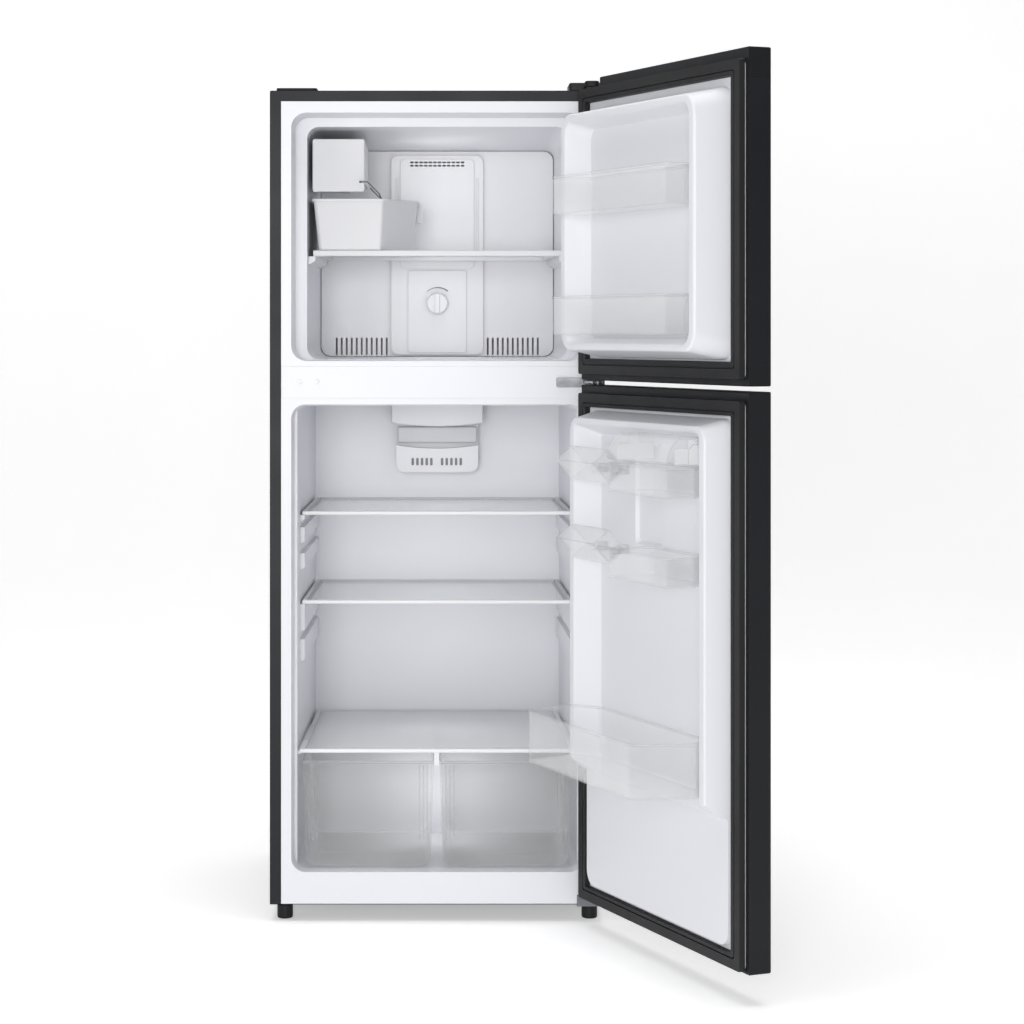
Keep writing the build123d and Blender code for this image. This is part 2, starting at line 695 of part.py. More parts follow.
cover_frame, cover_pane = shelf(
    fridge_wall,
    CRISPER_FRONT_Y,
    SHELF_BACK_Y,
    6,
    CRISPER_COVER_Z,
    CRISPER_COVER_Z + SHELF_THICK,
    14,
    8,
)
with BuildPart() as crisper_cover_frame:
    add(cover_frame)
    block((-5.2, 3.2), (CRISPER_FRONT_Y + 1, 350), (274, CRISPER_COVER_Z + 2.8))
write("crisper_cover_frame", crisper_cover_frame.part)
write("crisper_cover_glass", cover_pane)


def crisper(x0, x1):
    """A clear drawer that narrows downwards, with a lip, and upright ribs near its sides."""
    with BuildPart() as drawer:
        for inset, mode in ((0, Mode.ADD), (2.5, Mode.SUBTRACT)):
            with BuildSketch(front(CRISPER_BACK_Y - inset)) as profile:
                with BuildLine():
                    Polyline(
                        (x0 + inset, CRISPER_HIGH + inset),
                        (x0 + 6 + inset, CRISPER_LOW + inset),
                        (x1 - 6 - inset, CRISPER_LOW + inset),
                        (x1 - inset, CRISPER_HIGH + inset),
                        close=True,
                    )
                make_face()
                fillet(profile.vertices().group_by(Axis.Y)[0], 24 - inset)
            extrude(
                profile.sketch, amount=CRISPER_BACK_Y - CRISPER_FRONT_Y - 2 * inset, mode=mode
            )
        lip_z = (CRISPER_HIGH - 4, CRISPER_HIGH)
        block((x0, x1), (CRISPER_FRONT_Y - 4, CRISPER_FRONT_Y + 2.5), lip_z)
        for side_x in (x0 + 12, x0 + 19, x0 + 26, x1 - 12, x1 - 19, x1 - 26):
            rib_y = (CRISPER_FRONT_Y + 2, CRISPER_FRONT_Y + 4)
            block((side_x - 0.7, side_x + 0.7), rib_y, (140, 275))
        # a raised band along the foot of the front
        block((x0 + 30, x1 - 30), (CRISPER_FRONT_Y + 2, CRISPER_FRONT_Y + 3.2), (94, 118))
    return drawer.part


write("crisper_left", crisper(-243, -6))
write("crisper_right", crisper(4, 243))


def bowed(half, y, top, side_low, middle_low, mode=Mode.ADD):
    """A box between two depths whose lower edge bows downwards."""
    with BuildSketch(front(y[1])) as face:
        with BuildLine():
            Polyline((-half, side_low), (-half, top), (half, top), (half, side_low))
            ThreePointArc((half, side_low), (0, middle_low), (-half, side_low))
        make_face()
    extrude(face.sketch, amount=y[1] - y[0], mode=mode)


with BuildPart() as duct_cover:
    slab((-81, 81), (470, 524), (779, 900), 18)
    bowed(82, (460, 492), 905, 833, 826, Mode.SUBTRACT)
    bowed(90, (430, 524), 921, 878, 871)
    fillet(duct_cover.faces().sort_by(Axis.Y)[0].edges(), 3)
    # hollow, open to the back
    block((-84, 84), (434, 525), (882, 917), Mode.SUBTRACT)
    block((-76, 76), (496, 525), (800, 884), Mode.SUBTRACT)
    block((-62, 62), (474, 525), (785, 822), Mode.SUBTRACT)
    with BuildSketch(front(472)) as slots:
        for x in (-30, 28):
            with Locations((x, 800)):
                with GridLocations(9.2, 1, 5, 1):
                    SlotOverall(15, 5, rotation=90)
    extrude(slots.sketch, amount=8, mode=Mode.SUBTRACT)
write("duct_cover", duct_cover.part)

with BuildPart() as lamp_lens:
    slab((-79, 79), (482, 491.8), (836, 869), 5)
    fillet(lamp_lens.faces().sort_by(Axis.Y)[0].edges(), 4)
write("lamp_lens", lamp_lens.part)


# ---------------------------------------------------------------- doors
def door_block(z0, z1, inset, mode=Mode.ADD):
    """A slice of the closed door between two heights; its two outer edges are rounded."""
    with BuildSketch(Plane.XY.offset(z0)) as plan:
        with Locations((0, (DOOR_FRONT_Y + DOOR_BACK_Y) / 2)):
            Rectangle(2 * (HALF_WIDTH - inset), DOOR_THICK - 2 * inset)
        fillet(plan.vertices().group_by(Axis.Y)[0], 6 - inset)
    return extrude(plan.sketch, amount=z1 - z0, mode=mode)


def door_taper(near, far, mode=Mode.ADD):
    """A loft on a closed door between two sections: (proud, along low, along high, z low, z high, radius)."""
    sections = []
    for proud, s0, s1, z0, z1, radius in (near, far):
        sections.append(
            (DOOR_BACK_Y + proud, HALF_WIDTH - s1, HALF_WIDTH - s0, z0, z1, radius)
        )
    return taper(*sections, mode=mode)


def door_box(along, proud, z, mode=Mode.ADD):
    return block(
        (HALF_WIDTH - along[1], HALF_WIDTH - along[0]),
        (DOOR_BACK_Y + proud[0], DOOR_BACK_Y + proud[1]),
        z,
        mode,
    )


def door_skin(low, high):
    with BuildPart() as skin:
        door_block(low, high, 0)
        door_block(low, high, SHEET, Mode.SUBTRACT)
        block((-285, 285), (DOOR_BACK_Y - SHEET, DOOR_BACK_Y), (low, high), Mode.SUBTRACT)
    return skin.part


def end_cap(seam, end, outward):
    """A hollow plastic cap; outward is -1 for a bottom cap and 1 for a top cap."""
    z0, z1 = sorted((seam, end))
    c0, c1 = sorted((seam, end - outward * 3))
    b0, b1 = sorted((end, end - outward * 19))
    with BuildPart() as cap:
        door_block(z0, z1, 0)
        chamfer(cap.faces().sort_by(Axis.Z)[-1 if outward > 0 else 0].edges(), 1.5)
        door_block(c0, c1, 3, Mode.SUBTRACT)
        rod((HINGE_X, HINGE_Y), 9, b0, b1)
        h0, h1 = sorted((end, end - outward * 16))
        rod((HINGE_X, HINGE_Y), PIN_RADIUS + PIN_CLEARANCE, h0, h1, Mode.SUBTRACT)
    return cap.part


def foam_core(low, high, low_cap, high_cap):
    """Foam inside the skin and the caps, around the hinge bosses."""
    door_block(low + low_cap, high - high_cap, SHEET)
    block(
        (-285, 285),
        (DOOR_BACK_Y - SHEET, DOOR_BACK_Y),
        (low + low_cap, high - high_cap),
    )
    door_block(low + 3, high - 3, 3)
    for z0, z1 in ((low, low + 19), (high - 19, high)):
        rod((HINGE_X, HINGE_Y), 9, z0, z1, Mode.SUBTRACT)


def gasket_ring(low, high, inner_low, inner_high):
    """A folded magnetic gasket: a broad frame with a bellows groove around it."""
    with BuildPart() as ring:
        door_taper(
            (LINER, GASKET_INSET, 600 - GASKET_INSET, low, high, 5),
            (GASKET_PROUD, GASKET_INSET + 1, 599 - GASKET_INSET, low + 1, high - 1, 4),
        )
        door_taper(
            (LINER, 38.4, 561.6, inner_low, inner_high, 2),
            (GASKET_PROUD, 37.4, 562.6, inner_low - 1, inner_high + 1, 3),
            Mode.SUBTRACT,
        )
        # groove between the magnet strip and the mounting fold
        with BuildSketch(front(DOOR_BACK_Y + GASKET_PROUD)) as groove:
            for spread, mode in ((0, Mode.ADD), (2, Mode.SUBTRACT)):
                with Locations((0, (low + high) / 2)):
                    RectangleRounded(
                        2 * (HALF_WIDTH - 26 - spread), high - low - 34 - 2 * spread, 6, mode=mode
                    )
        extrude(groove.sketch, amount=3, mode=Mode.SUBTRACT)
    return ring.part


# freezer door
FZ0, FZ1 = FREEZER_DOOR_LOW, FREEZER_DOOR_HIGH
FREEZER_TOP_CAP = 50.0
write_on_door("freezer_door_skin", door_skin(FZ0 + CAP_HEIGHT, FZ1 - FREEZER_TOP_CAP))

freezer_low_cap = end_cap(FZ0 + CAP_HEIGHT, FZ0, -1)
with BuildPart() as freezer_top_cap:
    door_block(FZ1 - FREEZER_TOP_CAP, FZ1, 0)
    chamfer(freezer_top_cap.faces().sort_by(Axis.Z)[-1].edges(), 1.5)
    door_block(FZ1 - FREEZER_TOP_CAP, FZ1 - 3, 3, Mode.SUBTRACT)
    door_box((3, 76), (-39, -3), (NOTCH_Z - 3, FZ1 - 3))
    rod((HINGE_X, HINGE_Y), 9, NOTCH_Z - 18, NOTCH_Z)
    door_box((0, 73), (-DOOR_THICK, 0), (NOTCH_Z, FZ1), Mode.SUBTRACT)
    rod((HINGE_X, HINGE_Y), PIN_RADIUS + PIN_CLEARANCE, NOTCH_Z - 15, NOTCH_Z, Mode.SUBTRACT)
write_on_door("freezer_door_end_caps", freezer_low_cap, freezer_top_cap.part)


def freezer_dike(inset):
    """The freezer door liner's outline: a raised frame around a shallow recess."""
    i = inset
    with BuildPart() as dike:
        door_taper(
            (0, 43 + i, 557 - i, 1012 + i, 1447 - i, 34 - i),
            (FREEZER_DIKE - i, 55 + i, 545 - i, 1026 + i, 1434 - i, 34 - i),
        )
        door_taper(
            (PANEL_PROUD - i, 100 - i, 500 + i, 1046 - i, 1408 + i, 20),
            (FREEZER_DIKE + 4, 69 - i, 531 + i, 1036 - i, 1423 + i, 24),
            Mode.SUBTRACT,
        )
        crest = dike.faces().filter_by(Plane.XZ).sort_by(Axis.Y)[-1]
        fillet(crest.edges(), 5 if inset == 0 else 3.2)
    return dike.part


freezer_dike_outside, freezer_dike_foam = freezer_dike(0), freezer_dike(LINER)
with BuildPart() as freezer_door_liner:
    door_taper(
        (0, 10, 590, FZ0 + 11, FREEZER_HIGH + 35, 10),
        (LINER, 10, 590, FZ0 + 11, FREEZER_HIGH + 35, 10),
    )
    add(freezer_dike_outside)
    add(freezer_dike_foam, mode=Mode.SUBTRACT)
write_on_door("freezer_door_liner", freezer_door_liner.part)

with BuildPart() as freezer_door_foam:
    foam_core(FZ0, FZ1, CAP_HEIGHT, FREEZER_TOP_CAP)
    door_box((0, 76), (-DOOR_THICK, 0), (NOTCH_Z - 3, FZ1), Mode.SUBTRACT)
    rod((HINGE_X, HINGE_Y), 9, NOTCH_Z - 18, NOTCH_Z, Mode.SUBTRACT)
    add(freezer_dike_foam)
write_on_door("freezer_door_foam", freezer_door_foam.part)

write_on_door("freezer_door_gasket", gasket_ring(981.5, 1486.5, 1010, 1460))


def door_bin(corners, low, high, rounding):
    """A door bin from its plan corners given as (along, proud)."""
    plan = [door_xy(*corner) for corner in corners]
    return walled(plan, plan, low, high, 2.4, rounding, 1.4, 3.5).part


FREEZER_BIN = ((108, 32), (90, 68), (90, 101), (515, 101), (515, 68), (492, 32))
freezer_bins = [door_bin(FREEZER_BIN, low, low + 66, 5) for low in (1259, 1052)]
write_on_door("freezer_door_bins", *freezer_bins)

# fresh-food door
FR0, FR1 = FRIDGE_DOOR_LOW, FRIDGE_DOOR_HIGH
write_on_door("fridge_door_skin", door_skin(FR0 + CAP_HEIGHT, FR1 - CAP_HEIGHT))
write_on_door(
    "fridge_door_end_caps",
    end_cap(FR0 + CAP_HEIGHT, FR0, -1),
    end_cap(FR1 - CAP_HEIGHT, FR1, 1),
)


def fridge_dike(inset):
    """The fresh-food door liner's outline: two upright dikes and a top one on a low panel."""
    i = inset
    with BuildPart() as dike:
        door_taper(
            (0, 43 + i, 557 - i, 84 + i, 920 - i, 26 - i),
            (FRIDGE_DIKE - i, 54 + i, 546 - i, 95 + i, 907 - i, 26 - i),
        )
        door_taper(
            (LOW_PANEL + 3 - i, 110 - i, 490 + i, 240, 880 + i, 8 + i),
            (FRIDGE_DIKE + 4, 66 - i, 534 + i, 230, 899 + i, 10 + i),
            Mode.SUBTRACT,
        )
        # a shallow channel between the racks and the half bins
        door_taper(
            (LOW_PANEL - 3 - i, 244 - i, 336 + i, 704 - i, 866 + i, 10),
            (LOW_PANEL + 8, 236 - i, 344 + i, 696 - i, 874 + i, 12),
            Mode.SUBTRACT,
        )
        # below the big bin only the low panel is left, and the dikes slope down to it
        floor_y = DOOR_BACK_Y + LOW_PANEL - i
        with BuildSketch(Plane.YZ.offset(-HALF_WIDTH)) as cut:
            with BuildLine():
                Polyline(
                    (floor_y, 0),
                    (floor_y, FRIDGE_DIKE_LOW_Z - 14 + i),
                    (floor_y + 46, FRIDGE_DIKE_LOW_Z + 18 + i),
                    (floor_y + 80, FRIDGE_DIKE_LOW_Z + 18 + i),
                    (floor_y + 80, 0),
                    close=True,
                )
            make_face()
        extrude(cut.sketch, amount=2 * HALF_WIDTH, mode=Mode.SUBTRACT)
        crest = dike.faces().filter_by(Plane.XZ).sort_by(Axis.Y)[-1]
        long_edges = [edge for edge in crest.edges() if edge.center().Z > FRIDGE_DIKE_LOW_Z + 30]
        fillet(long_edges, 4 if inset == 0 else 2.6)
    return dike.part


fridge_dike_outside, fridge_dike_foam = fridge_dike(0), fridge_dike(LINER)
with BuildPart() as fridge_door_liner:
    door_taper(
        (0, 10, 590, FR0 + 4, FRIDGE_HIGH + 21, 10),
        (LINER, 10, 590, FR0 + 4, FRIDGE_HIGH + 21, 10),
    )
    add(fridge_dike_outside)
    add(fridge_dike_foam, mode=Mode.SUBTRACT)
write_on_door("fridge_door_liner", fridge_door_liner.part)

with BuildPart() as fridge_door_foam:
    foam_core(FR0, FR1, CAP_HEIGHT, CAP_HEIGHT)
    add(fridge_dike_foam)
write_on_door("fridge_door_foam", fridge_door_foam.part)

write_on_door("fridge_door_gasket", gasket_ring(54.5, 949.5, 80, 924))

HALF_BIN = ((306, 17), (306, 100), (520, 100), (520, 54), (484, 17))
half_bins = [door_bin(HALF_BIN, 793, 842, 8), door_bin(HALF_BIN, 652, 700, 8)]
write_on_door("fridge_half_bins", *half_bins)

BIG_BIN = ((100, 154), (70, 56), (114, 19), (486, 19), (530, 56), (498, 154))
write_on_door("bottom_bin", door_bin(BIG_BIN, 319, 407, 22))


def can_rack(drop):
    """A tilted trough for cans, open towards the room, with lugs to the door liner."""
    with BuildPart() as rack:
        for inset, mode in ((0, Mode.ADD), (2.4, Mode.SUBTRACT)):
            with BuildSketch(Plane.YZ.offset(HALF_WIDTH - 240 + inset)) as profile:
                with BuildLine():
                    Polyline(
                        (DOOR_BACK_Y + 96, 836 - drop),
                        (DOOR_BACK_Y + 64, 801 - drop),
                        (DOOR_BACK_Y + 34, 824 - drop),
                        (DOOR_BACK_Y + 65, 859.5 - drop),
                        close=True,
                    )
                make_face()
                if inset:
                    offset(amount=-inset, mode=Mode.REPLACE)
            extrude(profile.sketch, amount=145 - 2 * inset, mode=mode)
        # open the upper front side
        with BuildSketch(Plane.YZ.offset(HALF_WIDTH - 240 + 2.4)) as mouth:
            with BuildLine():
                Polyline(
                    (DOOR_BACK_Y + 94.2, 837.5 - drop),
                    (DOOR_BACK_Y + 66.5, 857.8 - drop),
                    (DOOR_BACK_Y + 78, 872 - drop),
                    (DOOR_BACK_Y + 108, 850 - drop),
                    close=True,
                )
            make_face()
        extrude(mouth.sketch, amount=145 - 4.8, mode=Mode.SUBTRACT)
        for s in (125, 205):
            door_box((s, s + 12), (15.3, 42), (815 - drop, 830 - drop))
    return rack.part


write_on_door("can_racks", can_rack(0), can_rack(135))

# dairy lid on two cheeks
LID_P, LID_Z = 47.0, 886.0
with BuildPart() as dairy_lid:
    for inset, mode in ((0, Mode.ADD), (2, Mode.SUBTRACT)):
        with BuildSketch(Plane.YZ.offset(HALF_WIDTH - 515 + inset)) as profile:
            with BuildLine():
                Line((DOOR_BACK_Y + 100 - inset, 847 - inset), (DOOR_BACK_Y + 43, 847 - inset))
                Line((DOOR_BACK_Y + 43, 847 - inset), (DOOR_BACK_Y + 43, 891 - inset))
                Line((DOOR_BACK_Y + 43, 891 - inset), (DOOR_BACK_Y + 72, 891 - inset))
                ThreePointArc(
                    (DOOR_BACK_Y + 72, 891 - inset),
                    (DOOR_BACK_Y + 92 - inset, 875 - inset),
                    (DOOR_BACK_Y + 100 - inset, 847 - inset),
                )
            make_face()
        extrude(profile.sketch, amount=212 - 2 * inset, mode=mode)
    block(
        (HALF_WIDTH - 513, HALF_WIDTH - 305),
        (DOOR_BACK_Y + 43, DOOR_BACK_Y + 45),
        (840, 890),
        Mode.SUBTRACT,
    )
    with BuildSketch(Plane.YZ.offset(HALF_WIDTH - 520)) as clear_back:
        with BuildLine():
            Polyline(
                (DOOR_BACK_Y + 40, 840),
                (DOOR_BACK_Y + 60, 840),
                (DOOR_BACK_Y + 60, 870),
                (DOOR_BACK_Y + 52, 878),
                (DOOR_BACK_Y + 40, 878),
                close=True,
            )
        make_face()
    extrude(clear_back.sketch, amount=220, mode=Mode.SUBTRACT)
    axle(HALF_WIDTH - 520, HALF_WIDTH - 300, DOOR_BACK_Y + LID_P, LID_Z, 2.06, Mode.SUBTRACT)
write_on_door("dairy_lid", dairy_lid.part)

cheeks = []
for inner, outer, back in ((308.5, 306, 15.3), (509.5, 512, 37)):
    with BuildPart() as cheek:
        s0, s1 = sorted((inner, outer))
        door_box((s0, s1), (back, 84), (846, 872))
        door_box((s0, s1), (43, 60), (846, LID_Z))
        x0, x1 = sorted((HALF_WIDTH - outer, HALF_WIDTH - outer + math.copysign(2.4, inner - outer)))
        axle(x0, x1, DOOR_BACK_Y + LID_P, LID_Z, 2)
        eye0, eye1 = sorted((HALF_WIDTH - s0, HALF_WIDTH - s1))
        axle(eye0, eye1, DOOR_BACK_Y + LID_P, LID_Z, 2.9)
    cheeks.append(cheek.part)
write_on_door("dairy_cheeks", *cheeks)
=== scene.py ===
import math

import bmesh
import bpy
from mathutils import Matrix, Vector


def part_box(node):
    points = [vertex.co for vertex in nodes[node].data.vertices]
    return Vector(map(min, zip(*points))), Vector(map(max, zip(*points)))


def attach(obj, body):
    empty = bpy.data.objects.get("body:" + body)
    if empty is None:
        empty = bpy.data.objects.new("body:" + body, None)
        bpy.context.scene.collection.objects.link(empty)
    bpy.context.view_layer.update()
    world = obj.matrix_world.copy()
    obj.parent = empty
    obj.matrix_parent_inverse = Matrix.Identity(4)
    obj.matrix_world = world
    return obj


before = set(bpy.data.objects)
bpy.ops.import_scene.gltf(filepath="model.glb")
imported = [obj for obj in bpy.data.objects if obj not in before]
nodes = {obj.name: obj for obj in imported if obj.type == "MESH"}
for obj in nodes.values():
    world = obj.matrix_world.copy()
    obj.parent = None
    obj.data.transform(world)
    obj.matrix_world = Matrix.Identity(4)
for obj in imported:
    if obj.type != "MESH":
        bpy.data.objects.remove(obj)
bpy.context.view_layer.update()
MM = 0.001

# ---------------------------------------------------------------- materials
BEVEL_SAMPLES = 4
SOFTENED_EDGE = 0.8 * MM
# painted shade: clear pieces are darker within EDGE_WIDTH of a sharp edge, down to the share of
# their colour given below, standing in for the dark outline that light bent at a clear edge
# leaves
EDGE_WIDTH = 2.8 * MM
PAINTED_EDGE_SHADE = 0.45
# cosines between the softened and the true normal, at an edge and on a flat face
EDGE_COSINE, FLAT_COSINE = 0.70, 0.99
SLANT_BLEND = 0.30


class Surface:
    """A Principled material whose detail is worked out from the object's own coordinates."""

    def __init__(self, name, colour, roughness, specular=0.5):
        self.material = bpy.data.materials.new(name)
        self.material.use_nodes = True
        self.tree = self.material.node_tree
        self.shader = self.tree.nodes["Principled BSDF"]
        self.colour = (*colour, 1.0)
        self.roughness = roughness
        self.place = self.add("ShaderNodeTexCoord").outputs["Object"]
        self.shader.inputs["Base Color"].default_value = self.colour
        self.shader.inputs["Roughness"].default_value = roughness
        self.shader.inputs["Specular IOR Level"].default_value = specular

    def add(self, kind, **settings):
        node = self.tree.nodes.new(kind)
        for key, value in settings.items():
            setattr(node, key, value)
        return node

    def link(self, source, target):
        self.tree.links.new(source, target)

    def shaded(self, share):
        """The colour with each channel multiplied by share."""
        return tuple(min(1.0, c * share) for c in self.colour[:3]) + (1.0,)

    def noise(self, scale, detail=3.0, stretch=(1, 1, 1)):
        """Noise with features about 1/scale metres across."""
        mapping = self.add("ShaderNodeMapping")
        mapping.inputs["Scale"].default_value = stretch
        self.link(self.place, mapping.inputs["Vector"])
        noise = self.add("ShaderNodeTexNoise")
        noise.inputs["Scale"].default_value = scale
        noise.inputs["Detail"].default_value = detail
        self.link(mapping.outputs["Vector"], noise.inputs["Vector"])
        return noise.outputs["Fac"]

    def spread(self, value, low, high, start=0.3, end=0.7):
        """Map start..end of a value onto low..high; the defaults suit noise."""
        ramp = self.add("ShaderNodeMapRange")
        ramp.inputs["From Min"].default_value = start
        ramp.inputs["From Max"].default_value = end
        ramp.inputs["To Min"].default_value = low
        ramp.inputs["To Max"].default_value = high
        self.link(value, ramp.inputs["Value"])
        return ramp.outputs["Result"]

    def mix(self, factor, first, second):
        """Blend from first to second; each is a colour or an output."""
        mixer = self.add("ShaderNodeMix", data_type="RGBA")
        self.link(factor, mixer.inputs["Factor"])
        for socket, colour in (("A", first), ("B", second)):
            target = [i for i in mixer.inputs if i.name == socket and i.type == "RGBA"][0]
            if isinstance(colour, tuple):
                target.default_value = colour
            else:
                self.link(colour, target)
        return [o for o in mixer.outputs if o.type == "RGBA"][0]

    def mottle(self, amount, scale=6.0):
        """Slow variation in colour, as handling and light dust leave."""
        dark, light = self.shaded(1 - amount), self.shaded(1 + amount)
        shade = self.mix(self.spread(self.noise(scale), 0, 1), dark, light)
        self.link(shade, self.shader.inputs["Base Color"])

    def polish(self, amount, scale=9.0):
        """Slow variation in gloss."""
        low, high = self.roughness - amount, self.roughness + amount
        gloss = self.spread(self.noise(scale, detail=4), low, high)
        self.link(gloss, self.shader.inputs["Roughness"])

    def softened(self, radius):
        """The normal with sharp edges rounded off to a radius."""
        bevel = self.add("ShaderNodeBevel", samples=BEVEL_SAMPLES)
        bevel.inputs["Radius"].default_value = radius
        return bevel.outputs["Normal"]

    def bump(self, scale, height, stretch=(1, 1, 1)):
        """Fine relief over slightly softened edges."""
        edges = self.softened(SOFTENED_EDGE)
        bump = self.add("ShaderNodeBump")
        bump.inputs["Distance"].default_value = height
        bump.inputs["Strength"].default_value = 1.0
        self.link(self.noise(scale, detail=2, stretch=stretch), bump.inputs["Height"])
        self.link(edges, bump.inputs["Normal"])
        self.link(bump.outputs["Normal"], self.shader.inputs["Normal"])

    def rim(self, width):
        """1 close to sharp edges and 0 on flat faces."""
        edges = self.softened(width)
        geometry = self.add("ShaderNodeNewGeometry")
        turn = self.add("ShaderNodeVectorMath", operation="DOT_PRODUCT")
        self.link(edges, turn.inputs[0])
        self.link(geometry.outputs["Normal"], turn.inputs[1])
        return self.spread(turn.outputs["Value"], 1, 0, EDGE_COSINE, FLAT_COSINE)

    def see_through(self, facing, grazing, edge):
        """Opacity of clear material where it is met head-on, at a slant and at its edges, with
        painted shade darkening its colour near those edges.
        """
        weight = self.add("ShaderNodeLayerWeight")
        weight.inputs["Blend"].default_value = SLANT_BLEND
        slant = self.spread(weight.outputs["Facing"], facing, grazing, 0.1, 1.0)
        near_edge = self.rim(EDGE_WIDTH)
        # painted shade: the colour is darkened towards sharp edges
        shade = self.mix(near_edge, self.colour, self.shaded(PAINTED_EDGE_SHADE))
        self.link(shade, self.shader.inputs["Base Color"])
        rim = self.add("ShaderNodeMath", operation="MULTIPLY")
        self.link(near_edge, rim.inputs[0])
        rim.inputs[1].default_value = edge
        most = self.add("ShaderNodeMath", operation="MAXIMUM")
        self.link(slant, most.inputs[0])
        self.link(rim.outputs["Value"], most.inputs[1])
        self.link(most.outputs["Value"], self.shader.inputs["Alpha"])


def enamel(name, colour, roughness):
    s = Surface(name, colour, roughness, specular=0.22)
    s.mottle(0.06)
    s.polish(0.03)
    s.bump(420, 0.03 * MM)
    return s.material


def moulded(name, colour, roughness, grain=900, height=0.02 * MM, mottle=0.04):
    s = Surface(name, colour, roughness, specular=0.3)
    s.mottle(mottle)
    s.polish(0.03)
    s.bump(grain, height)
    return s.material


def liner(name, colour, roughness):
    s = Surface(name, colour, roughness, specular=0.35)
    s.mottle(0.004, scale=2.0)
    s.polish(0.02, scale=3.0)
    s.bump(700, 0.01 * MM)
    return s.material


def clear(name, colour, roughness, facing, grazing, edge):
    s = Surface(name, colour, roughness)
    s.polish(0.02, scale=30.0)
    s.bump(220, 0.01 * MM)
    s.see_through(facing, grazing, edge)
    return s.material


def metal(name, colour, roughness, grain, stretch=(1, 1, 1)):
    s = Surface(name, colour, roughness)
    s.shader.inputs["Metallic"].default_value = 1.0
    s.mottle(0.08, scale=20.0)
    s.polish(0.08, scale=40.0)
    s.bump(grain, 0.03 * MM, stretch)
    return s.material


def foam(name, colour, roughness):
    s = Surface(name, colour, roughness)
    s.mottle(0.15, scale=12.0)
    s.polish(0.05)
    s.bump(260, 0.3 * MM)
    return s.material


def trim(name, colour, bright, roughness, bright_depth):
    """Side trims in one colour whose front edge, bright_depth deep, has another."""
    s = Surface(name, colour, roughness)
    axes = s.add("ShaderNodeSeparateXYZ")
    s.link(s.place, axes.inputs["Vector"])
    front_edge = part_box("shelf_frames")[0].y + bright_depth
    step = s.spread(axes.outputs["Y"], 1, 0, front_edge, front_edge + 1 * MM)
    s.link(s.mix(step, s.colour, (*bright, 1.0)), s.shader.inputs["Base Color"])
    s.polish(0.05)
    s.bump(600, 0.03 * MM)
    return s.material


BLACK = enamel("black_enamel", (0.0105, 0.0112, 0.0140), 0.42)
BLACK_PLASTIC = moulded("black_plastic", (0.0055, 0.0062, 0.0080), 0.52)
GREY_PLASTIC = moulded("grey_plastic", (0.20, 0.20, 0.21), 0.42)
WHITE_PLASTIC = moulded(
    "white_plastic", (0.70, 0.70, 0.72), 0.36, grain=700, height=0.01 * MM, mottle=0.004
)
FROSTED = moulded("frosted_plastic", (0.58, 0.59, 0.62), 0.38, grain=500, mottle=0.01)
RUBBER = moulded(
    "gasket_rubber", (0.012, 0.012, 0.013), 0.55, grain=600, height=0.04 * MM, mottle=0.10
)
DARK_STEEL = moulded(
    "dark_steel", (0.05, 0.051, 0.055), 0.5, grain=700, height=0.05 * MM, mottle=0.12
)
LINER = liner("white_liner", (0.73, 0.735, 0.77), 0.34)
CLEAR = clear("clear_plastic", (0.90, 0.905, 0.92), 0.12, facing=0.06, grazing=0.50, edge=0.62)
CLOUDY = clear("cloudy_glass", (0.86, 0.87, 0.88), 0.10, facing=0.45, grazing=0.75, edge=0.8)
GLASS = clear("shelf_glass", (0.80, 0.85, 0.84), 0.05, facing=0.05, grazing=0.32, edge=0.6)
ZINC = metal("zinc_plate", (0.17, 0.175, 0.185), 0.42, grain=700)
ALUMINIUM = metal("aluminium", (0.76, 0.77, 0.78), 0.34, grain=400, stretch=(1, 1, 6))
COPPER = metal("copper_tube", (0.78, 0.44, 0.30), 0.30, grain=500)
FOAM = foam("rigid_foam", (0.72, 0.62, 0.36), 0.8)
SHELF_TRIM = trim("shelf_trim", (0.60, 0.605, 0.625), (0.78, 0.785, 0.80), 0.34, 13 * MM)

FINISHES = {
    BLACK: ("outer_cabinet", "freezer_door_skin", "fridge_door_skin"),
    DARK_STEEL: ("back_panel", "top_hinge", "compressor"),
    FOAM: ("cabinet_foam", "freezer_door_foam", "fridge_door_foam"),
    LINER: (
        "freezer_liner",
        "fridge_liner",
        "freezer_door_liner",
        "fridge_door_liner",
        "mullion_cover",
        "hole_plugs",
    ),
    RUBBER: ("freezer_door_gasket", "fridge_door_gasket", "compressor_mounts"),
    CLEAR: (
        "freezer_door_bins",
        "fridge_half_bins",
        "can_racks",
        "bottom_bin",
        "dairy_lid",
        "crisper_left",
        "crisper_right",
    ),
    GLASS: ("freezer_shelf_glass", "shelf_panes"),
    CLOUDY: ("crisper_cover_glass",),
    SHELF_TRIM: ("shelf_frames", "crisper_cover_frame"),
    WHITE_PLASTIC: (
        "evaporator_cover",
        "freezer_shelf_frame",
        "icemaker_cover",
        "duct_cover",
        "dairy_cheeks",
        "freezer_knob",
        "ice_bin",
    ),
    FROSTED: ("lamp_lens",),
    GREY_PLASTIC: ("icemaker_ejector",),
    ZINC: (
        "middle_hinge",
        "bottom_hinge",
        "hinge_screws",
        "base_plate",
        "fan_motor",
        "icemaker_arm",
    ),
    ALUMINIUM: ("evaporator_coil", "condenser", "icemaker_mould"),
    COPPER: ("refrigerant_tubes",),
}
finish_of = {name: material for material, names in FINISHES.items() for name in names}
for name, piece in nodes.items():
    # what isn't listed is black plastic: end caps, top covers, feet, rollers and the like
    piece.data.materials.clear()
    piece.data.materials.append(finish_of.get(name, BLACK_PLASTIC))


